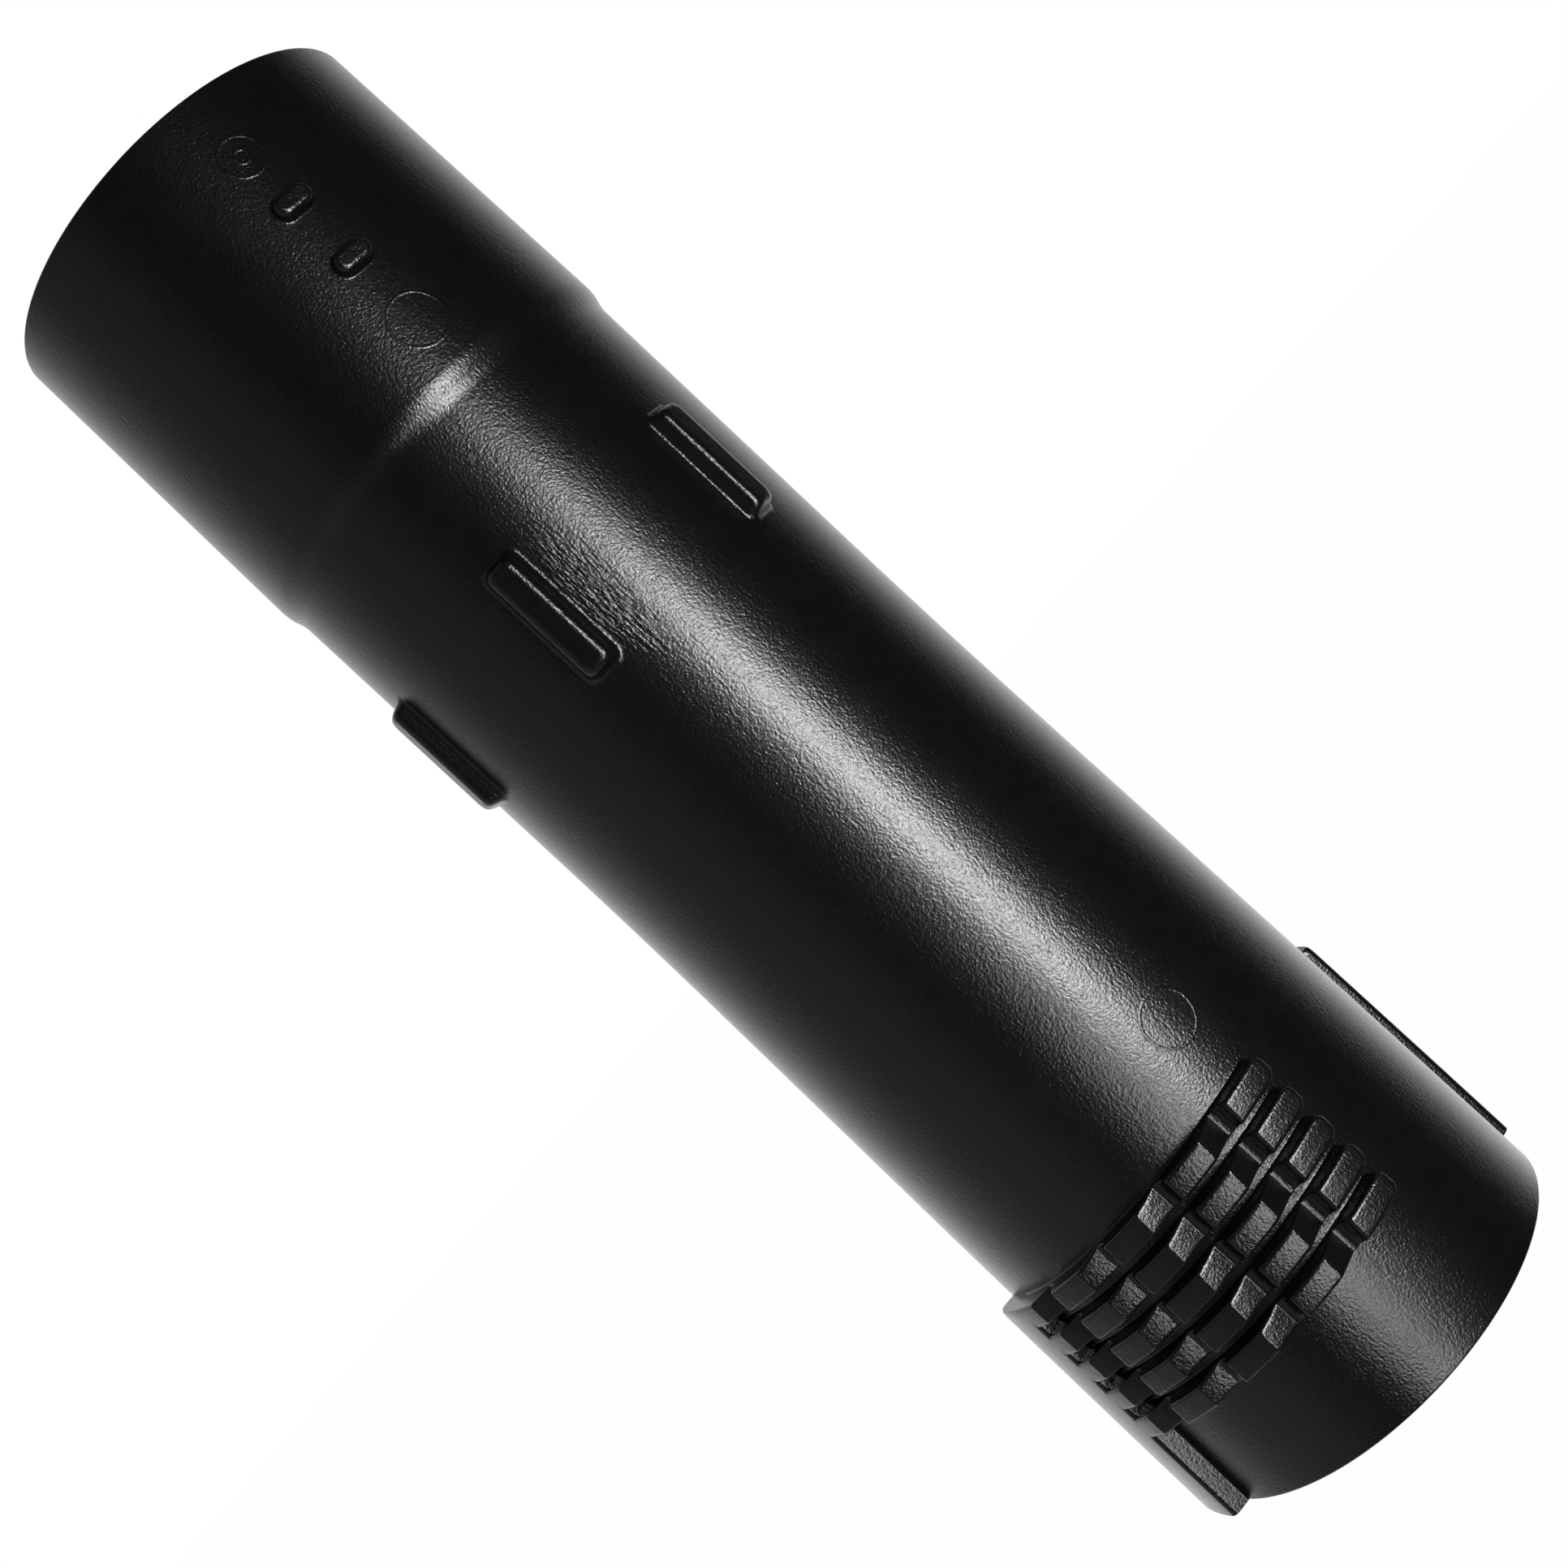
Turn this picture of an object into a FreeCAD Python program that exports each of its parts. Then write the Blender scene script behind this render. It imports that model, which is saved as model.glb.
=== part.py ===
# Nozzle tube of a leaf blower: one moulded plastic tube with a plain sleeve at its upper end and a
# twist-lock ratchet ladder on each side of its lower end. It stands on the ladder end, +Z along its axis.
# Angles run about the axis from the front (-Y), positive towards +X.
import FreeCAD, Part
import math
import os
import Sketcher
from FreeCAD import Placement, Rotation, Vector

NODE = "nozzle_tube"
TOLERANCE = 1e-4

doc = FreeCAD.newDocument(NODE)

# Driving dimensions, in millimetres and degrees
SIZES = {
    "overall_length": 296.6,
    "tube_diameter": 80.0,
    "sleeve_length": 64.3,
    "sleeve_step": 1.0,
    "shoulder_length": 4.6,
    "shoulder_round": 3.0,
    "waist_draw": 0.2,
    "flare_above": 10.65,
    "flare_step": 1.35,
    "foot_step": 2.2,
    "foot_wall": 2.2,
    "socket_depth": 66.0,
    "socket_wall": 1.8,
    "duct_wall": 2.4,
    "rim_break": 0.5,
    "rib_root": 0.7,
    "mark_angle": 19.8,
    "lug_count": 6,
    "lug_drop": 33.9,
    "lug_length": 26.0,
    "lug_width": 6.8,
    "lug_rise": 2.8,
    "lug_draft": 24.0,
    "lug_corner": 1.0,
    "nub_drop": 25.6,
    "nub_spacing": 13.4,
    "nub_width": 7.8,
    "nub_length": 4.4,
    "nub_rise": 2.1,
    "nub_draft": 14.0,
    "nub_corner": 1.4,
    "nub_edge": 0.5,
    "tooth_rise": 4.35,
    "band_count": 5,
    "band_pitch": 7.0,
    "band_height": 53.65,
    "band_lead": 5.9,
    "band_crest": 3.4,
    "band_base": 5.0,
    "band_end_round": 1.3,
    "tooth_count": 5,
    "tooth_step": 20.25,
    "first_wall": 12.0,
    "end_crest": 13.8,
    "crest": 11.0,
    "last_crest": 5.2,
    "ramp": 5.6,
    "valley_rise": 1.4,
    "rail_width": 17.0,
    "rail_drop": 3.85,
    "rail_clearance": 0.4,
    "rail_end": 2.2,
    "rail_round": 1.2,
}
sheet = doc.addObject("Spreadsheet::Sheet", "Sizes")
for row, (alias, value) in enumerate(SIZES.items(), start=1):
    sheet.set(f"A{row}", alias)
    sheet.set(f"B{row}", str(value))
    sheet.setAlias(f"B{row}", alias)
doc.recompute()

# Heights, radii and angles that follow from the driving dimensions
SLEEVE_FOOT = "(Sizes.overall_length - Sizes.sleeve_length)"
SHOULDER_FOOT = f"({SLEEVE_FOOT} - Sizes.shoulder_length)"
SOCKET_FLOOR = "(Sizes.overall_length - Sizes.socket_depth)"
FLARE_HEIGHT = "(Sizes.band_height + Sizes.flare_above)"
WAIST_HEIGHT = f"(({SHOULDER_FOOT} + {FLARE_HEIGHT}) / 2)"
LUG_HEIGHT = f"({SHOULDER_FOOT} - Sizes.lug_drop)"
NUB_HEIGHT = "(Sizes.overall_length - Sizes.nub_drop)"
TUBE_RADIUS = "(Sizes.tube_diameter / 2)"
WAIST_RADIUS = f"({TUBE_RADIUS} - Sizes.waist_draw)"
FLARE_RADIUS = f"({TUBE_RADIUS} + Sizes.flare_step)"
FOOT_RADIUS = f"({TUBE_RADIUS} + Sizes.foot_step)"
SOCKET_RADIUS = f"({TUBE_RADIUS} - Sizes.socket_wall)"
DUCT_RADIUS = f"({TUBE_RADIUS} - Sizes.duct_wall)"
LUG_SEAT = f"({WAIST_RADIUS} - Sizes.rib_root)"
NUB_SEAT = f"({TUBE_RADIUS} - Sizes.rib_root)"
LUG_ANGLE = "(Sizes.mark_angle + 180 / Sizes.lug_count)"
CREST_RADIUS = f"({FLARE_RADIUS} + Sizes.tooth_rise)"
LADDER_ROOT = f"({FLARE_RADIUS} - Sizes.rib_root)"
VALLEY_RADIUS = f"({FLARE_RADIUS} + Sizes.valley_rise)"
CLEAR_RADIUS = f"({CREST_RADIUS} + Sizes.valley_rise)"
RAMP_TOP = "(Sizes.first_wall - Sizes.tooth_step + Sizes.crest)"
RAMP_FOOT = f"({RAMP_TOP} + Sizes.ramp)"
RAIL_RIGHT = f"({RAMP_TOP} - (Sizes.tooth_count - 2) * Sizes.tooth_step - Sizes.last_crest)"
RAIL_LEFT = f"({RAIL_RIGHT} - Sizes.rail_width)"
LADDER_RIGHT = "(Sizes.first_wall + Sizes.end_crest)"
LADDER_LEFT = f"({RAIL_LEFT} + Sizes.rail_end)"
LADDER_MIDDLE = f"(({LADDER_RIGHT} + {LADDER_LEFT}) / 2)"
BAND_STACK = "(Sizes.band_pitch * (Sizes.band_count - 1))"
BAND_REACH = f"(Sizes.band_base + {CREST_RADIUS} * sin(Sizes.band_lead))"

body = doc.addObject("PartDesign::Body", "NozzleTube")
body.Label = NODE


def number(text):
    """Value of an expression of the sheet."""
    return float(sheet.evalExpression(text))


def origin_part(role):
    """The body's own origin plane or axis with this role."""
    return next(part for part in body.Origin.OriginFeatures if part.Role == role)


def bind(feature, **expressions):
    """Tie properties of a feature to the sheet."""
    for name, text in expressions.items():
        feature.setExpression(name, text)


def new_sketch(name, support):
    """Add a sketch that lies flat on a plane of the body."""
    sketch = body.newObject("Sketcher::SketchObject", name)
    sketch.AttachmentSupport = [(support, "")]
    sketch.MapMode = "FlatFace"
    return sketch


def polar_point(radius, angle):
    """Expressions for a point of the plan view at a radius and an angle from the front."""
    return (f"{radius} * sin({angle})", f"0 - {radius} * cos({angle})")


def add_outline(sketch, corners, arc_side=None, arc_radius=None):
    """Draw a closed outline whose corners are expressions, with one side an arc about the axis."""
    places = [Vector(number(x), number(y), 0) for x, y in corners]
    count = len(places)
    for side, start in enumerate(places):
        end = places[(side + 1) % count]
        if side == arc_side:
            middle = (start + end).normalize() * start.Length
            sketch.addGeometry(Part.Arc(start, middle, end), False)
        else:
            sketch.addGeometry(Part.LineSegment(start, end), False)
    for side in range(count):
        sketch.addConstraint(Sketcher.Constraint("Coincident", side, 2, (side + 1) % count, 1))
    for side, (x, y) in enumerate(corners):
        for kind, value, text in (("DistanceX", places[side].x, x), ("DistanceY", places[side].y, y)):
            place = sketch.addConstraint(Sketcher.Constraint(kind, -1, 1, side, 1, value))
            sketch.setExpression(f"Constraints[{place}]", text)
    if arc_side is not None:
        place = sketch.addConstraint(Sketcher.Constraint("Radius", arc_side, number(arc_radius)))
        sketch.setExpression(f"Constraints[{place}]", arc_radius)


def facing_plane(name, angle, distance):
    """Add a datum plane that faces outwards at an angle about the axis, this far from it."""
    plane = body.newObject("PartDesign::Plane", name)
    plane.AttachmentSupport = [(origin_part("XZ_Plane"), "")]
    plane.MapMode = "FlatFace"
    plane.AttachmentOffset = Placement(Vector(0, 0, 0), Rotation(Vector(0, 1, 0), 1))
    plane.setExpression("AttachmentOffset.Rotation.Angle", angle)
    plane.setExpression("AttachmentOffset.Base.x", f"{distance} * sin({angle})")
    plane.setExpression("AttachmentOffset.Base.z", f"{distance} * cos({angle})")
    return plane


def add_block(name, plane, width, length, height, rise, draft):
    """Pad a drafted rectangular block outwards from a facing plane, centred at a height."""
    sketch = new_sketch(f"{name}Outline", plane)
    low = f"{height} - {length} / 2"
    high = f"{height} + {length} / 2"
    add_outline(sketch, [
        (f"0 - {width} / 2", low), (f"{width} / 2", low), (f"{width} / 2", high), (f"0 - {width} / 2", high),
    ])
    pad = body.newObject("PartDesign::Pad", name)
    pad.Profile = sketch
    bind(pad, Length=f"{rise} + Sizes.rib_root", TaperAngle=f"0 - {draft}")
    return pad


def set_polar(pattern, count, angle):
    """Set a pattern to repeat about the tube's axis."""
    pattern.Axis = (origin_part("Z_Axis"), [""])
    bind(pattern, Occurrences=count, Angle=angle)
    return pattern


def set_linear(pattern, count, length):
    """Set a pattern to repeat down the tube's axis."""
    pattern.Direction = (origin_part("Z_Axis"), [""])
    pattern.Reversed = True
    bind(pattern, Occurrences=count, Length=length)
    return pattern


def add_pattern(kind, name, original):
    """Add a pattern of one feature as the new tip of the body."""
    pattern = body.newObject(f"PartDesign::{kind}", name)
    pattern.Originals = [original]
    body.Tip = pattern
    return pattern


def treat_edges(kind, name, base, amount, test):
    """Fillet or chamfer the edges of the last feature that pass a test."""
    doc.recompute()
    chosen = [f"Edge{place}" for place, edge in enumerate(base.Shape.Edges, start=1) if test(edge)]
    treated = body.newObject(f"PartDesign::{kind}", name)
    treated.Base = (base, chosen)
    treated.setExpression("Size" if kind == "Chamfer" else "Radius", amount)
    doc.recompute()
    return treated


def ends_of(edge):
    """The two end points of an edge."""
    return [vertex.Point for vertex in edge.Vertexes]


def distance_from_axis(point):
    """Radius of a point about the tube's axis."""
    return math.hypot(point.x, point.y)


def angle_from_front(point):
    """Angle of a point about the tube's axis, in degrees from the front."""
    return math.degrees(math.atan2(point.x, -point.y))


def is_near_height(point, heights):
    """True for a point at one of these heights."""
    return any(abs(point.z - height) < TOLERANCE for height in heights)


def is_wall_ring(edge, heights, inside_too):
    """True for a circle of the turned wall at one of these heights."""
    if not isinstance(edge.Curve, Part.Circle):
        return False
    outside = edge.Curve.Radius > number(SOCKET_RADIUS) + TOLERANCE
    return is_near_height(edge.Curve.Center, heights) and (outside or inside_too)


def climbs(edge, rise, heights):
    """True for an edge that climbs outwards by most of a rise, between two heights."""
    ends = ends_of(edge)
    if len(ends) < 2:
        return False
    inside = all(heights[0] <= point.z <= heights[1] for point in ends)
    return inside and abs(distance_from_axis(ends[0]) - distance_from_axis(ends[1])) > rise / 2


def lies_on_top(edge, distance, angle):
    """True for an edge in the flat top of a block that faces this angle."""
    facing = Vector(math.sin(math.radians(angle)), -math.cos(math.radians(angle)), 0)
    return all(abs(point.dot(facing) - distance) < TOLERANCE for point in ends_of(edge))


def is_free_end(edge):
    """True for an edge on the half of either ladder that is away from its rail."""
    return all(angle_from_front(point) % 180 < 90 for point in ends_of(edge))


def is_rail_far_edge(edge):
    """True for the outer upright edge of either rail on the side away from the ladder."""
    ends = ends_of(edge)
    if len(ends) < 2 or not isinstance(edge.Curve, Part.Line):
        return False
    far_side = number(RAIL_LEFT) % 180
    return all(abs(distance_from_axis(point) - number(CREST_RADIUS)) < TOLERANCE
               and abs(angle_from_front(point) % 180 - far_side) < TOLERANCE for point in ends)


# Tube wall, turned about the axis: sleeve, shoulder, waist and flared lower end, with the duct inside
wall_sketch = new_sketch("WallSection", origin_part("XZ_Plane"))
add_outline(wall_sketch, [
    (f"{FOOT_RADIUS} - Sizes.foot_wall", "0"),
    (FOOT_RADIUS, "0"),
    (FLARE_RADIUS, FLARE_HEIGHT),
    (WAIST_RADIUS, WAIST_HEIGHT),
    (TUBE_RADIUS, SHOULDER_FOOT),
    (f"{TUBE_RADIUS} + Sizes.sleeve_step", SLEEVE_FOOT),
    (TUBE_RADIUS, "Sizes.overall_length"),
    (SOCKET_RADIUS, "Sizes.overall_length"),
    (SOCKET_RADIUS, SOCKET_FLOOR),
    (DUCT_RADIUS, SOCKET_FLOOR),
    (DUCT_RADIUS, WAIST_HEIGHT),
])
wall = body.newObject("PartDesign::Revolution", "Wall")
wall.Profile = wall_sketch
wall.ReferenceAxis = (wall_sketch, ["V_Axis"])
wall.Angle = 360
shoulder_heights = [number(SHOULDER_FOOT), number(SLEEVE_FOOT)]
rim_heights = [0, number("Sizes.overall_length")]
shoulder = treat_edges("Fillet", "ShoulderFillet", wall, "Sizes.shoulder_round",
                       lambda edge: is_wall_ring(edge, shoulder_heights, False))
treat_edges("Chamfer", "RimChamfer", shoulder, "Sizes.rim_break",
            lambda edge: is_wall_ring(edge, rim_heights, True))

# Locating lugs: a ring of drafted pads round the body
lug_plane = facing_plane("LugPlane", LUG_ANGLE, LUG_SEAT)
lug = add_block("Lug", lug_plane, "Sizes.lug_width", "Sizes.lug_length", LUG_HEIGHT,
                "Sizes.lug_rise", "Sizes.lug_draft")
lugs = set_polar(add_pattern("PolarPattern", "Lugs", lug), "Sizes.lug_count", "360")
lug_heights = [number(f"{LUG_HEIGHT} {sign} Sizes.lug_length / 2") for sign in "-+"]
treat_edges("Chamfer", "LugCorners", lugs, "Sizes.lug_corner",
            lambda edge: climbs(edge, sheet.lug_rise, lug_heights))

# Two stop nubs in line on the sleeve
nub_plane = facing_plane("NubPlane", "Sizes.mark_angle", NUB_SEAT)
nub = add_block("Nub", nub_plane, "Sizes.nub_width", "Sizes.nub_length", NUB_HEIGHT,
                "Sizes.nub_rise", "Sizes.nub_draft")
nubs = set_linear(add_pattern("LinearPattern", "Nubs", nub), "2", "Sizes.nub_spacing")
nub_heights = [number(f"{NUB_HEIGHT} - Sizes.nub_spacing - Sizes.nub_length / 2"),
               number(f"{NUB_HEIGHT} + Sizes.nub_length / 2")]
nub_top = number(f"{TUBE_RADIUS} + Sizes.nub_rise")
nub_corners = treat_edges("Fillet", "NubCorners", nubs, "Sizes.nub_corner",
                          lambda edge: climbs(edge, sheet.nub_rise, nub_heights))
treat_edges("Chamfer", "NubEdges", nub_corners, "Sizes.nub_edge",
            lambda edge: lies_on_top(edge, nub_top, sheet.mark_angle))

# One ladder band: a drafted rib turned about an axis that leans by the lead angle
band_plane = facing_plane("BandPlane", f"{LADDER_MIDDLE} - 90", "0")
band_sketch = new_sketch("BandSection", band_plane)
band_sketch.AttachmentOffset = Placement(Vector(0, 0, 0), Rotation(Vector(1, 0, 0), 1))
band_sketch.setExpression("AttachmentOffset.Rotation.Angle", "Sizes.band_lead")
band_sketch.setExpression("AttachmentOffset.Base.y", "Sizes.band_height")
add_outline(band_sketch, [
    (LADDER_ROOT, "0 - Sizes.band_base / 2"),
    (CREST_RADIUS, "0 - Sizes.band_crest / 2"),
    (CREST_RADIUS, "Sizes.band_crest / 2"),
    (LADDER_ROOT, "Sizes.band_base / 2"),
])
band = body.newObject("PartDesign::Revolution", "Band")
band.Profile = band_sketch
band.ReferenceAxis = (band_sketch, ["V_Axis"])
band.Midplane = True
bind(band, Angle=f"{LADDER_RIGHT} - {LADDER_LEFT}")

# Ladder bands, stacked along the axis on two opposite sides of the tube
bands = add_pattern("MultiTransform", "Bands", band)
band_steps = set_linear(body.newObject("PartDesign::LinearPattern", "BandSteps"),
                        "Sizes.band_count", BAND_STACK)
band_sides = set_polar(body.newObject("PartDesign::PolarPattern", "BandSides"), "2", "360")
bands.Transformations = [band_steps, band_sides]
body.Tip = bands

# Free ends of the bands, rounded in plan
band_heights = [number(f"Sizes.band_height - {BAND_STACK} - {BAND_REACH}"),
                number(f"Sizes.band_height + {BAND_REACH}")]
band_rise = number(f"{CREST_RADIUS} - {FOOT_RADIUS}")
treat_edges("Fillet", "BandEnds", bands, "Sizes.band_end_round",
            lambda edge: climbs(edge, band_rise, band_heights) and is_free_end(edge))

# One valley across all the bands: a wall along the axis, a floor and a ramp up to the next crest
valley_sketch = new_sketch("ValleyPlan", origin_part("XY_Plane"))
valley_sketch.setExpression("AttachmentOffset.Base.z", f"Sizes.band_height + {BAND_REACH}")
add_outline(valley_sketch, [
    polar_point(CLEAR_RADIUS, "Sizes.first_wall"),
    polar_point(VALLEY_RADIUS, "Sizes.first_wall"),
    polar_point(VALLEY_RADIUS, RAMP_FOOT),
    polar_point(CREST_RADIUS, RAMP_TOP),
    polar_point(CLEAR_RADIUS, RAMP_TOP),
])
valley = body.newObject("PartDesign::Pocket", "Valley")
valley.Profile = valley_sketch
bind(valley, Length=f"{BAND_STACK} + 2 * {BAND_REACH}")

# Valleys between all the teeth of both ladders
valleys = add_pattern("MultiTransform", "Valleys", valley)
valley_steps = set_polar(body.newObject("PartDesign::PolarPattern", "ValleySteps"),
                         "Sizes.tooth_count - 1", "Sizes.tooth_step * (Sizes.tooth_count - 2)")
valley_steps.Reversed = True
valley_sides = set_polar(body.newObject("PartDesign::PolarPattern", "ValleySides"), "2", "360")
valleys.Transformations = [valley_steps, valley_sides]
body.Tip = valleys

# Rail that closes each ladder
rail_sketch = new_sketch("RailPlan", origin_part("XY_Plane"))
rail_sketch.setExpression("AttachmentOffset.Base.z", "Sizes.rail_clearance")
add_outline(rail_sketch, [
    polar_point(LADDER_ROOT, RAIL_LEFT),
    polar_point(CREST_RADIUS, RAIL_LEFT),
    polar_point(CREST_RADIUS, RAIL_RIGHT),
    polar_point(LADDER_ROOT, RAIL_RIGHT),
], 1, CREST_RADIUS)
rail = body.newObject("PartDesign::Pad", "Rail")
rail.Profile = rail_sketch
bind(rail, Length="Sizes.band_height - Sizes.rail_drop - Sizes.rail_clearance")
rails = set_polar(add_pattern("PolarPattern", "Rails", rail), "2", "360")
treat_edges("Fillet", "RailEdge", rails, "Sizes.rail_round", is_rail_far_edge)

# Check of every feature, then the STEP file of the finished tube
doc.recompute()
for item in doc.Objects:
    if "Invalid" in item.State or "Error" in item.State:
        raise RuntimeError(f"{item.Name} did not build")
shape = body.Shape
if shape.isNull() or not shape.isValid() or len(shape.Solids) != 1:
    raise RuntimeError(f"{NODE} is not one valid solid")
os.makedirs("parts", exist_ok=True)
shape.exportStep(f"parts/{NODE}.step")
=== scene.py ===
"""Blower nozzle tube: a fine mesh of the moulded tube, its plastic, the studio light and the camera."""
import math

import bmesh
import bpy
from mathutils import Matrix, Vector


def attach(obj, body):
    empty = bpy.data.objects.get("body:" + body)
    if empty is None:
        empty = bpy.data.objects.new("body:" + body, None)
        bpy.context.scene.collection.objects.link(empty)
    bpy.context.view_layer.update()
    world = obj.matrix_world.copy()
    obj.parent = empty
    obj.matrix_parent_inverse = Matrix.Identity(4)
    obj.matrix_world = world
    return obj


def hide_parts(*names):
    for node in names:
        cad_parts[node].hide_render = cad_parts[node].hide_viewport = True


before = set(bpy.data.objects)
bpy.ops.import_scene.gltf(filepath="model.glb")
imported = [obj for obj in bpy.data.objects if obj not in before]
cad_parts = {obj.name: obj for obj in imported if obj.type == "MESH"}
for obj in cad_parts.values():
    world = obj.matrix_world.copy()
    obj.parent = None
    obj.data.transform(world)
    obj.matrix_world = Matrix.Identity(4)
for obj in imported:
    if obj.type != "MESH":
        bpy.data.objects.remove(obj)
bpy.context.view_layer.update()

MM = 0.001
NODE = "nozzle_tube"

# Tube wall, in millimetres: heights along the axis and radii about it
LENGTH = 296.6
SLEEVE_FOOT = 233.35
SHOULDER_FOOT = 230.25
WAIST = 146.0
FLARE = 64.3
SOCKET_FLOOR = 230.6
TUBE_R = 40.0
SLEEVE_R = 41.0
WAIST_R = 39.8
FLARE_R = 41.35
FOOT_R = 42.2
SOCKET_R = 38.2
DUCT_R = 37.6
OUTLET_R = 40.0
RIM_ROUND = 0.5
SHOULDER_ROUND = 8.7
FLARE_BLEND = 4000
WAIST_BLEND = 2000
AROUND = 384
OUTSIDE_STEP = 9
INSIDE_STEP = 24
ARC_SHARE = 0.95
SHARP_ANGLE = math.radians(38)

# Features on the outside: angles in degrees from the front, positive towards +X
MARK_ANGLE = 19.8
LUG_COUNT = 6
LUG_HEIGHT = 193.8
LUG = dict(width=7.4, length=26.0, rise=3.1, draft=23, corner=2.0, edge=1.1, foot=0.7)
NUB_COUNT = 2
NUB_HEIGHT = 271.5
NUB_SPACING = 13.4
NUB = dict(width=7.9, length=4.8, rise=2.2, draft=14, corner=2.3, edge=0.9, foot=0.25)
CORNER_SPREAD = 0.4
CIRCLE_HEIGHTS = (243.5, 73.7)
CIRCLE_R = 5.1
DIAL_HEIGHT = 283.0
DIAL_RINGS = (3.9, 1.3)
DIAL_TICKS = 12
TICK_START = 2.5
TICK_END = 3.1
RING_STEPS = 72
# Mould marks: height, and half widths at the foot and on top
MARK_RISE = 0.05
MARK_FOOT = 0.3
MARK_TOP = 0.1

# Ratchet ladders and rails, one of each on the front and on the back
SIDES = (0, 180)
CREST_R = 45.7
CREST_RISE = 3.8
VALLEY_R = 42.75
ROOT_R = 40.65
BAND_COUNT = 5
BAND_PITCH = 7.0
BAND_HEIGHT = 53.65
BAND_LEAD = 5.9
BAND_MIDDLE = -26.1
BAND_BASE = 5.4
BAND_CREST = 4.8
LADDER_RIGHT = 25.8
FREE_END_LEAN = 0.2
FREE_END_ROOT = 0.9
FREE_END_EASE = 1.3
FIRST_WALL = 12.0
TOOTH_COUNT = 5
TOOTH_STEP = 20.25
CREST_SPAN = 11.0
RAMP_SPAN = 5.95
WALL_LEAN = 0.1
END_ROUND = 2.3
EDGE_ROUND = 0.8
WALL_FOOT_ROUND = 2.5
RAMP_FOOT_ROUND = 0.4
ROOT_ROUND = 0.35
ROUND_SHARE = 0.4
BAND_STEP = 1.6
RAIL_RIGHT = -63.2
RAIL_LEFT = -80.2
RAIL_FOOT = 0.05
RAIL_LEAN = 0.85
GAP_LEAN = 0.05
RAIL_RIGHT_ROUND = 1.1
RAIL_LEFT_ROUND = 1.2
RAIL_STEP = 1.2
# Share of the rail's height, inset of its outline, lean of its right side
RAIL_LEVELS = ((0, 0.15, RAIL_LEAN), (0.002, 0.05, RAIL_LEAN), (0.005, 0, RAIL_LEAN), (0.38, 0, RAIL_LEAN),
               (0.47, 0, GAP_LEAN), (0.97, 0, GAP_LEAN), (0.99, 0.1, GAP_LEAN), (1, 0.4, GAP_LEAN))

# For clean unions: millimetres that feet sink into the wall and step out of it and that rails lie below
# the crests, and degrees that bands run on into the rail
EMBED = 0.6
LIP = 0.02
FLUSH = 0.01
BAND_OVERRUN = 3.2


def polar(radius, angle, height):
    """Point in metres at a radius, an angle from the front and a height, all given in mm and degrees."""
    turn = math.radians(angle)
    return Vector((radius * math.sin(turn), -radius * math.cos(turn), height)) * MM


def rounded(corners, steps=4):
    """Polyline through (x, y, radius) corners with each corner replaced by an arc of its radius."""
    points = []
    last = len(corners) - 1
    for place, (x, y, radius) in enumerate(corners):
        here = Vector((x, y))
        if place in (0, last) or radius == 0:
            points.append(here)
            continue
        before = Vector(corners[place - 1][:2]) - here
        after = Vector(corners[place + 1][:2]) - here
        before_way, after_way = before.normalized(), after.normalized()
        turn = math.pi - before.angle(after)
        reach = min(radius * math.tan(turn / 2), before.length * ARC_SHARE, after.length * ARC_SHARE)
        centre = here + (before_way + after_way).normalized() * reach / math.sin(turn / 2)
        start = here + before_way * reach - centre
        end = here + after_way * reach - centre
        for step in range(steps + 1):
            t = step / steps
            swing = start * math.sin((1 - t) * turn) + end * math.sin(t * turn)
            points.append(centre + swing / math.sin(turn))
    return points


def divided(points, span, like=None):
    """Polyline cut into stretches of a span at most, as many as in the one it has to be like."""
    like = like or points
    dense = [points[0]]
    for place in range(len(points) - 1):
        count = max(1, math.ceil((like[place + 1] - like[place]).length / span))
        dense += [points[place].lerp(points[place + 1], step / count) for step in range(1, count + 1)]
    return dense


def bend(start, corner, end, steps):
    """Points of a short curve from start to end that leans on a corner, the start left out."""
    curve = []
    for step in range(1, steps + 1):
        t = step / steps
        curve.append(start * (1 - t) ** 2 + corner * (2 * t * (1 - t)) + end * t ** 2)
    return curve


def add_loft(bm, rings, closed=False):
    """Skin between closed rings of points; the ends are capped unless the rings close on themselves."""
    loops = [[bm.verts.new(point) for point in ring] for ring in rings]
    pairs = list(zip(loops, loops[1:]))
    if closed:
        pairs.append((loops[-1], loops[0]))
    faces = []
    for low, high in pairs:
        for place in range(len(low)):
            after = (place + 1) % len(low)
            faces.append(bm.faces.new((low[place], low[after], high[after], high[place])))
    if not closed:
        faces.append(bm.faces.new(loops[0][::-1]))
        faces.append(bm.faces.new(loops[-1]))
    bmesh.ops.recalc_face_normals(bm, faces=faces)


def new_object(name, bm):
    """Object made from a bmesh, linked to the scene."""
    mesh = bpy.data.meshes.new(name)
    bm.to_mesh(mesh)
    bm.free()
    made = bpy.data.objects.new(name, mesh)
    bpy.context.scene.collection.objects.link(made)
    return made


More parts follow.
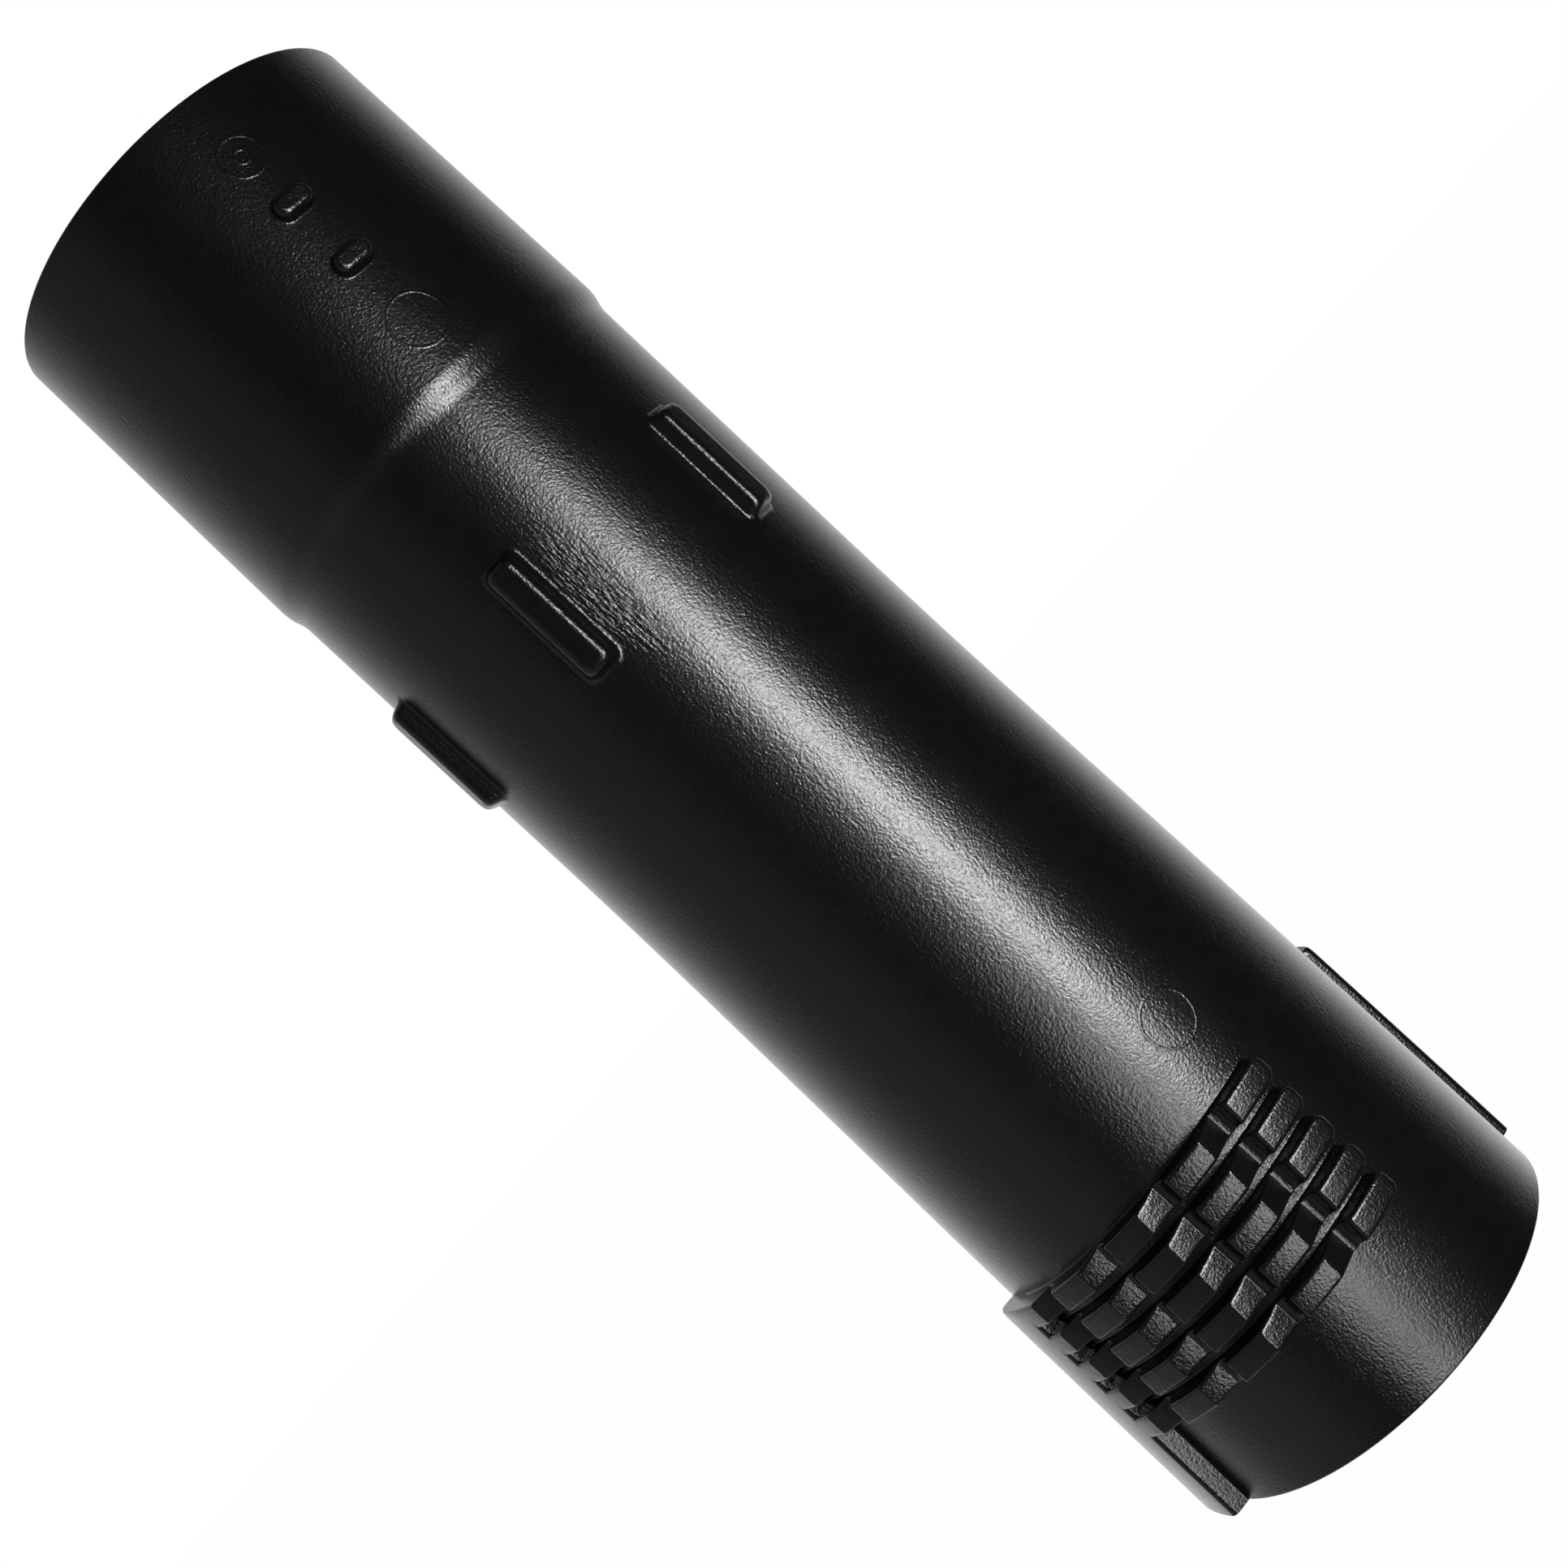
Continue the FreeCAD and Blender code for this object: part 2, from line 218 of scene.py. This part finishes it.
# Wall section: outside from the foot to the mouth, then back down the inside
OUTSIDE = rounded([
    (OUTLET_R + RIM_ROUND * 2, 0, 0), (FOOT_R, 0, RIM_ROUND),
    (FLARE_R, FLARE, FLARE_BLEND), (WAIST_R, WAIST, WAIST_BLEND),
    (TUBE_R, SHOULDER_FOOT, SHOULDER_ROUND), (SLEEVE_R, SLEEVE_FOOT, SHOULDER_ROUND),
    (TUBE_R, LENGTH, RIM_ROUND), (SOCKET_R + RIM_ROUND * 2, LENGTH, 0),
], 6)
INSIDE = rounded([
    (SOCKET_R + RIM_ROUND * 1.6, LENGTH, 0), (SOCKET_R, LENGTH, RIM_ROUND), (SOCKET_R, SOCKET_FLOOR, 0),
    (DUCT_R, SOCKET_FLOOR, 0), (DUCT_R, WAIST, WAIST_BLEND), (OUTLET_R, 0, RIM_ROUND),
    (OUTLET_R + RIM_ROUND * 1.6, 0, 0),
], 6)


def wall_radius(height):
    """Outer radius of the wall at a height."""
    for low, high in zip(OUTSIDE[1:], OUTSIDE[2:]):
        if low.y <= height <= high.y and high.y > low.y:
            return low.x + (high.x - low.x) * (height - low.y) / (high.y - low.y)
    return FOOT_R


def wrapped(across, along, rise, angle, height):
    """Point on the wall: millimetres across and along from a centre, raised off the surface."""
    radius = wall_radius(height + along)
    return polar(radius + rise, angle + math.degrees(across / radius), height + along)


def build_wall():
    """The turned wall as one closed skin."""
    bm = bmesh.new()
    section = divided(OUTSIDE, OUTSIDE_STEP) + divided(INSIDE, INSIDE_STEP)
    add_loft(bm, [[polar(point.x, 360 * turn / AROUND, point.y) for point in section]
                  for turn in range(AROUND)], closed=True)
    return new_object("nozzle_tube_moulding", bm)


def pill_loop(width, length, corner, steps=6):
    """Closed outline of a rectangle with rounded corners, centred on the origin."""
    corner = min(corner, width / 2 - 0.01, length / 2 - 0.01)
    loop = []
    for quarter, (sx, sy) in enumerate(((1, 1), (-1, 1), (-1, -1), (1, -1))):
        cx, cy = sx * (width / 2 - corner), sy * (length / 2 - corner)
        for step in range(steps + 1):
            turn = math.radians(90 * (quarter + step / steps))
            loop.append((cx + corner * math.cos(turn), cy + corner * math.sin(turn)))
    return loop


def add_pad(bm, angle, height, width, length, rise, draft, corner, edge, foot):
    """Drafted pad on the wall with a filleted foot and rounded top edges; sizes are at the wall."""
    slope = math.tan(math.radians(draft))
    levels = [Vector((foot, -EMBED)), Vector((foot, LIP))]
    levels += bend(levels[-1], Vector((0, LIP)), Vector((-foot * slope, foot)), 5)
    shoulder = Vector((-(rise - edge) * slope, rise - edge))
    levels.append(shoulder)
    levels += bend(shoulder, Vector((-rise * slope, rise)), Vector((-rise * slope - edge, rise)), 5)
    rings = []
    for spread, lift in levels:
        loop = pill_loop(width + 2 * spread, length + 2 * spread, corner + spread * CORNER_SPREAD)
        rings.append([wrapped(x, y, lift, angle, height) for x, y in loop])
    add_loft(bm, rings)


def add_ring(bm, angle, height, radius):
    """Thin raised witness ring of a mould insert."""
    section = ((-MARK_FOOT, -EMBED), (-MARK_FOOT, LIP), (-MARK_TOP, LIP + MARK_RISE),
               (MARK_TOP, LIP + MARK_RISE), (MARK_FOOT, LIP), (MARK_FOOT, -EMBED))
    rings = []
    for step in range(RING_STEPS):
        turn = math.tau * step / RING_STEPS
        ring = []
        for out, lift in section:
            reach = radius + out
            ring.append(wrapped(reach * math.cos(turn), reach * math.sin(turn), lift, angle, height))
        rings.append(ring)
    add_loft(bm, rings, closed=True)


def add_tick(bm, angle, height, start, end, turn):
    """Short raised bar that points away from a centre, between two distances."""
    along = Vector((math.cos(turn), math.sin(turn)))
    aside = Vector((-along.y, along.x)) * MARK_FOOT
    rings = []
    for reach in (start, end):
        low, high = along * reach - aside, along * reach + aside
        corners = ((low, -EMBED), (low, MARK_RISE), (high, MARK_RISE), (high, -EMBED))
        rings.append([wrapped(point.x, point.y, lift, angle, height) for point, lift in corners])
    add_loft(bm, rings)


def build_pads():
    """Locating lugs round the body, the two stop nubs on the sleeve and the plain mould marks in line."""
    bm = bmesh.new()
    for place in range(LUG_COUNT):
        angle = MARK_ANGLE + (place + 0.5) * 360 / LUG_COUNT
        add_pad(bm, angle, LUG_HEIGHT, **LUG)
    for place in range(NUB_COUNT):
        add_pad(bm, MARK_ANGLE, NUB_HEIGHT - place * NUB_SPACING, **NUB)
    for height in CIRCLE_HEIGHTS:
        add_ring(bm, MARK_ANGLE, height, CIRCLE_R)
    for radius in DIAL_RINGS:
        add_ring(bm, MARK_ANGLE, DIAL_HEIGHT, radius)
    for place in range(DIAL_TICKS):
        add_tick(bm, MARK_ANGLE, DIAL_HEIGHT, TICK_START, TICK_END, math.tau * place / DIAL_TICKS)
    return new_object("pads", bm)


def band_top():
    """Top line of a band from its free end into the rail: angle, millimetres from the end, radius."""
    per_degree = math.radians(1) * CREST_R
    corners = [(-FREE_END_LEAN, FLARE_R + FREE_END_ROOT, 0), (0, CREST_R, EDGE_ROUND * FREE_END_EASE)]
    wall = FIRST_WALL
    for _ in range(TOOTH_COUNT - 1):
        crest_end = wall - TOOTH_STEP + CREST_SPAN
        tooth = ((wall, CREST_R, EDGE_ROUND), (wall - WALL_LEAN, VALLEY_R, WALL_FOOT_ROUND),
                 (crest_end + RAMP_SPAN, VALLEY_R, RAMP_FOOT_ROUND), (crest_end, CREST_R, EDGE_ROUND))
        for angle, radius, fillet in tooth:
            corners.append(((LADDER_RIGHT - angle) * per_degree, radius, fillet))
        wall -= TOOTH_STEP
    corners.append(((LADDER_RIGHT - RAIL_RIGHT + BAND_OVERRUN) * per_degree, CREST_R, 0))
    line = rounded(corners, 7)
    near = [point for point in line if point.x < END_ROUND / 2]
    ease = [Vector((END_ROUND * step / 5, CREST_R)) for step in range(3, 6)]
    line = near + ease + [point for point in line if point.x > END_ROUND]
    return [(LADDER_RIGHT - point.x / per_degree, point.x, point.y) for point in divided(line, BAND_STEP)]


def band_lift(angle):
    """Rise of the slanted bands at an angle."""
    return CREST_R * math.sin(math.radians(BAND_LEAD)) * math.sin(math.radians(angle - BAND_MIDDLE))


def band_section(angle, from_end, top, side, drop):
    """Closed section of a band at one angle: filleted foot, drafted sides, rounded crest edges."""
    middle = BAND_HEIGHT + band_lift(angle) - drop
    wall = wall_radius(middle)
    grow = wall + CREST_RISE - CREST_R
    top += grow
    inset = END_ROUND - from_end - FREE_END_LEAN
    pinch = 0
    if inset > 0:
        pinch = END_ROUND - math.sqrt(max(0, END_ROUND ** 2 - inset ** 2))
    taper = (BAND_BASE - BAND_CREST) / 2 / (CREST_R - ROOT_R)

    def half(radius):
        """Half width of the band at a radius."""
        return BAND_BASE / 2 - taper * (radius - grow - ROOT_R) - pinch

    room = top - wall
    foot = min(ROOT_ROUND, room * ROUND_SHARE)
    edge = min(EDGE_ROUND, room * ROUND_SHARE)
    line = [Vector((half(wall) + foot, wall - EMBED)), Vector((half(wall) + foot, wall + LIP))]
    line += bend(line[-1], Vector((half(wall), wall + LIP)), Vector((half(wall + foot), wall + foot)), 3)
    line.append(Vector((half(top - edge), top - edge)))
    line += bend(line[-1], Vector((half(top), top)), Vector((half(top) - edge, top)), 4)
    line.append(Vector((half(top) / 3, top)))
    loop = line + [Vector((-point.x, point.y)) for point in reversed(line)]
    return [polar(point.y, angle + side, middle + point.x) for point in loop]


def build_bands():
    """All the bands of both ladders."""
    bm = bmesh.new()
    stations = band_top()
    for side in SIDES:
        for place in range(BAND_COUNT):
            add_loft(bm, [band_section(angle, from_end, top, side, place * BAND_PITCH)
                          for angle, from_end, top in stations])
    return new_object("bands", bm)


def rail_top(angle):
    """Height of the rail's upper end, which runs on in line with the first band."""
    return BAND_HEIGHT + band_lift(angle) + BAND_CREST / 2


def build_rails():
    """The rail that closes each ladder."""
    bm = bmesh.new()
    per_degree = math.radians(1) * CREST_R
    width = (RAIL_RIGHT - RAIL_LEFT) * per_degree
    for side in SIDES:
        rings = []
        first = None
        for level, inset, lean in RAIL_LEVELS:
            wall = wall_radius(level * rail_top(RAIL_RIGHT))
            root = wall + LIP
            crest = wall + CREST_RISE - FLUSH - inset
            plan = rounded([
                (inset - ROOT_ROUND, wall - EMBED, 0), (inset - ROOT_ROUND, root, 0),
                (inset, root, ROOT_ROUND), (inset + lean, crest, RAIL_RIGHT_ROUND),
                (width - inset, crest, RAIL_LEFT_ROUND), (width - inset, root, ROOT_ROUND),
                (width - inset + ROOT_ROUND, root, 0), (width - inset + ROOT_ROUND, wall - EMBED, 0),
            ], 5)
            first = first or plan
            ring = []
            for point in divided(plan, RAIL_STEP, first):
                angle = RAIL_RIGHT - point.x / per_degree
                height = RAIL_FOOT + level * (rail_top(angle) - RAIL_FOOT)
                ring.append(polar(point.y, angle + side, height))
            rings.append(ring)
        add_loft(bm, rings)
    return new_object("rails", bm)


def unite(base, other):
    """Join another closed mesh to the base as one solid skin, and remove it."""
    step = base.modifiers.new("unite", "BOOLEAN")
    step.operation = "UNION"
    step.solver = "MANIFOLD"
    step.object = other
    bpy.context.view_layer.update()
    view = bpy.context.evaluated_depsgraph_get()
    mesh = bpy.data.meshes.new_from_object(base.evaluated_get(view))
    base.modifiers.remove(step)
    base.data = mesh
    bpy.data.objects.remove(other)


tube = build_wall()
for part in (build_bands(), build_rails(), build_pads()):
    unite(tube, part)
tube.data.shade_smooth()
tube.data.set_sharp_from_angle(angle=SHARP_ANGLE)
weighted = tube.modifiers.new("weighted", "WEIGHTED_NORMAL")
weighted.keep_sharp = True
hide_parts(NODE)
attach(tube, "root")


def node(tree, kind, place, **values):
    """Shader node at a place, with its sockets set by name."""
    made = tree.nodes.new(kind)
    made.location = place
    for name, value in values.items():
        made.inputs[name.replace("_", " ")].default_value = value
    return made


# Black satin plastic: fine moulded grain, soft mottling and slightly uneven gloss
GRAIN_SCALE = 2000
LINES_SHARE = 0.5
plastic = bpy.data.materials.new("black_plastic")
plastic.use_nodes = True
tree = plastic.node_tree
surface = tree.nodes["Principled BSDF"]
surface.inputs["IOR"].default_value = 1.5
where = node(tree, "ShaderNodeTexCoord", (-1300, 0))
grain = node(tree, "ShaderNodeTexNoise", (-1000, -250), Scale=GRAIN_SCALE, Detail=2, Roughness=0.6)
mottle = node(tree, "ShaderNodeTexNoise", (-1000, 50), Scale=260, Detail=4, Roughness=0.55)
cloud = node(tree, "ShaderNodeTexNoise", (-1000, 350), Scale=28, Detail=3, Roughness=0.5)
for texture in (grain, mottle, cloud):
    tree.links.new(where.outputs["Object"], texture.inputs["Vector"])
tint = node(tree, "ShaderNodeValToRGB", (-700, 350))
tint.color_ramp.elements[0].color = (0.0015, 0.0016, 0.0016, 1)
tint.color_ramp.elements[1].color = (0.0036, 0.0038, 0.0038, 1)
tree.links.new(mottle.outputs["Fac"], tint.inputs["Fac"])
tree.links.new(tint.outputs["Color"], surface.inputs["Base Color"])
gloss = node(tree, "ShaderNodeMapRange", (-700, 50), To_Min=0.19, To_Max=0.255)
tree.links.new(cloud.outputs["Fac"], gloss.inputs["Value"])
tree.links.new(gloss.outputs["Result"], surface.inputs["Roughness"])
# Faint drawing lines along the tube join the grain
drawn = node(tree, "ShaderNodeMapping", (-1200, -450), Scale=(1, 1, 0.35))
lines = node(tree, "ShaderNodeTexNoise", (-1000, -450), Scale=GRAIN_SCALE, Detail=2, Roughness=0.6)
relief = node(tree, "ShaderNodeMath", (-600, -350))
relief.operation = "MULTIPLY_ADD"
relief.inputs[1].default_value = LINES_SHARE
bump = node(tree, "ShaderNodeBump", (-400, -250), Strength=0.8, Distance=0.0001)
tree.links.new(where.outputs["Object"], drawn.inputs["Vector"])
tree.links.new(drawn.outputs["Vector"], lines.inputs["Vector"])
tree.links.new(lines.outputs["Fac"], relief.inputs[0])
tree.links.new(grain.outputs["Fac"], relief.inputs[2])
tree.links.new(relief.outputs["Value"], bump.inputs["Height"])
# Flow wrinkles beside the middle lug, fading out round their centre
flow = node(tree, "ShaderNodeMapping", (-1100, -600), Scale=(1, 0.2, 0.2))
wrinkle = node(tree, "ShaderNodeTexNoise", (-900, -600), Scale=1500, Detail=2, Roughness=0.5)
patch = node(tree, "ShaderNodeMapping", (-1100, -900),
             Location=(-0.18, 4, -11.1), Scale=(170, 100, 58))
reach = node(tree, "ShaderNodeVectorMath", (-900, -900))
reach.operation = "LENGTH"
fade = node(tree, "ShaderNodeMapRange", (-700, -900), From_Min=0.35, From_Max=1, To_Min=0.9, To_Max=0)
ripple = node(tree, "ShaderNodeBump", (-200, -600), Distance=0.0004)
tree.links.new(where.outputs["Object"], flow.inputs["Vector"])
tree.links.new(where.outputs["Object"], patch.inputs["Vector"])
tree.links.new(flow.outputs["Vector"], wrinkle.inputs["Vector"])
tree.links.new(patch.outputs["Vector"], reach.inputs[0])
tree.links.new(reach.outputs["Value"], fade.inputs["Value"])
tree.links.new(wrinkle.outputs["Fac"], ripple.inputs["Height"])
tree.links.new(fade.outputs["Result"], ripple.inputs["Strength"])
tree.links.new(bump.outputs["Normal"], ripple.inputs["Normal"])
tree.links.new(ripple.outputs["Normal"], surface.inputs["Normal"])
tube.data.materials.clear()
tube.data.materials.append(plastic)

# Floor: white to the camera, which leaves the tube's shadow on it too faint to see, as in the photograph.
# It casts no shadow itself, because the low lamp shines up through it.
FLOOR_R = 2.5
FLOOR_GLOW = 0.985
bm = bmesh.new()
bmesh.ops.create_circle(bm, cap_ends=True, segments=96, radius=FLOOR_R)
floor = new_object("floor", bm)
floor.visible_glossy = False
floor.visible_shadow = False
white = bpy.data.materials.new("white_floor")
white.use_nodes = True
tree = white.node_tree
matt = tree.nodes["Principled BSDF"]
matt.inputs["Base Color"].default_value = (0.9, 0.9, 0.9, 1)
matt.inputs["Roughness"].default_value = 0.9
glow = node(tree, "ShaderNodeEmission", (0, -200))
path = node(tree, "ShaderNodeLightPath", (-300, 300))
share = node(tree, "ShaderNodeMath", (-100, 300))
share.operation = "MULTIPLY"
share.inputs[1].default_value = FLOOR_GLOW
mix = node(tree, "ShaderNodeMixShader", (300, 100))
tree.links.new(path.outputs["Is Camera Ray"], share.inputs[0])
tree.links.new(share.outputs["Value"], mix.inputs["Fac"])
tree.links.new(matt.outputs["BSDF"], mix.inputs[1])
tree.links.new(glow.outputs["Emission"], mix.inputs[2])
tree.links.new(mix.outputs["Shader"], tree.nodes["Material Output"].inputs["Surface"])
floor.data.materials.append(white)

# World: white behind the tube, dim in front of it; white to the camera
# Bearings in degrees from the front, positive towards +X, with their brightness
WORLD_LEVELS = ((-180, 0.97), (-142, 0.84), (-122, 0.56), (-105, 0.35), (-85, 0.22), (-55, 0.2), (-38, 0.09),
                (-28, 0.015), (105, 0.015), (117, 0.12), (127, 0.5), (142, 0.9), (180, 0.97))
world = bpy.data.worlds.new("studio")
bpy.context.scene.world = world
world.use_nodes = True
tree = world.node_tree
sky = tree.nodes["Background"]
where = node(tree, "ShaderNodeTexCoord", (-1300, 0))
split = node(tree, "ShaderNodeSeparateXYZ", (-1100, 0))
front = node(tree, "ShaderNodeMath", (-900, -150))
front.operation = "MULTIPLY"
front.inputs[1].default_value = -1
bearing = node(tree, "ShaderNodeMath", (-700, 0))
bearing.operation = "ARCTAN2"
turn = node(tree, "ShaderNodeMapRange", (-500, 0), From_Min=-math.pi, From_Max=math.pi)
levels = node(tree, "ShaderNodeValToRGB", (-300, 0))
tree.links.new(where.outputs["Generated"], split.inputs["Vector"])
tree.links.new(split.outputs["Y"], front.inputs[0])
tree.links.new(split.outputs["X"], bearing.inputs[0])
tree.links.new(front.outputs["Value"], bearing.inputs[1])
tree.links.new(bearing.outputs["Value"], turn.inputs["Value"])
tree.links.new(turn.outputs["Result"], levels.inputs["Fac"])
stops = levels.color_ramp.elements
while len(stops) < len(WORLD_LEVELS):
    stops.new(0.5)
for stop, (angle, level) in zip(stops, WORLD_LEVELS):
    stop.position = (angle + 180) / 360
    stop.color = (level, level, level, 1)
fall = node(tree, "ShaderNodeMapRange", (-300, -300), From_Min=-0.4, From_Max=0.4, To_Min=1.45, To_Max=0.9)
tree.links.new(split.outputs["Z"], fall.inputs["Value"])
tree.links.new(fall.outputs["Result"], sky.inputs["Strength"])
blank = node(tree, "ShaderNodeBackground", (0, -200), Color=(1, 1, 1, 1), Strength=1)
path = node(tree, "ShaderNodeLightPath", (0, 300))
mix = node(tree, "ShaderNodeMixShader", (300, 100))
tree.links.new(levels.outputs["Color"], sky.inputs["Color"])
tree.links.new(path.outputs["Is Camera Ray"], mix.inputs["Fac"])
tree.links.new(sky.outputs["Background"], mix.inputs[1])
tree.links.new(blank.outputs["Background"], mix.inputs[2])
tree.links.new(mix.outputs["Shader"], tree.nodes["World Output"].inputs["Surface"])


def add_lamp(name, size, energy, at, aim, roll):
    """Elliptical lamp at a place, aimed at a point and rolled about its aim; lengths in metres."""
    data = bpy.data.lights.new(name, "AREA")
    data.shape = "ELLIPSE"
    data.size, data.size_y = size
    data.energy = energy
    made = bpy.data.objects.new(name, data)
    bpy.context.scene.collection.objects.link(made)
    at = Vector(at)
    back = (at - Vector(aim)).normalized()
    side = Vector((math.sin(roll), 0, math.cos(roll))).cross(back).normalized()
    made.matrix_world = Matrix.Translation(at) @ Matrix((side, back.cross(side), back)).transposed().to_4x4()


# Soft lamps behind the camera: a tall one to the right, and a weak one for the ladder end, below the floor
add_lamp("tall_lamp", (0.175, 0.48), 6.2, (0.313, -0.70, 0.105), (0, 0, 0.13), math.radians(4))
add_lamp("low_lamp", (0.23, 0.34), 1.55, (0.08, -0.70, -0.21), (0, 0, 0.03), 0)

# Camera, from the photograph: rolled so that the tube lies diagonally
CAMERA_AT = Vector((-1.13, -355.9, 151.7)) * MM
ROLL = math.radians(42.98)
TILT = math.radians(0.85)
FOCAL_PIXELS = 2361.3
IMAGE_PIXELS = 1932
right = Vector((math.sin(ROLL), -math.cos(ROLL) * math.sin(TILT), -math.cos(ROLL) * math.cos(TILT)))
up = Vector((math.cos(ROLL), math.sin(ROLL) * math.sin(TILT), math.sin(ROLL) * math.cos(TILT)))
back = Vector((0, -math.cos(TILT), math.sin(TILT)))
camera_data = bpy.data.cameras.new("camera")
camera_data.sensor_width = 36
camera_data.lens = FOCAL_PIXELS / IMAGE_PIXELS * camera_data.sensor_width
camera_data.clip_start = 0.01
camera = bpy.data.objects.new("camera", camera_data)
camera.matrix_world = Matrix.Translation(CAMERA_AT) @ Matrix((right, up, back)).transposed().to_4x4()
bpy.context.scene.collection.objects.link(camera)
bpy.context.scene.camera = camera
bpy.context.scene.view_settings.view_transform = "Standard"
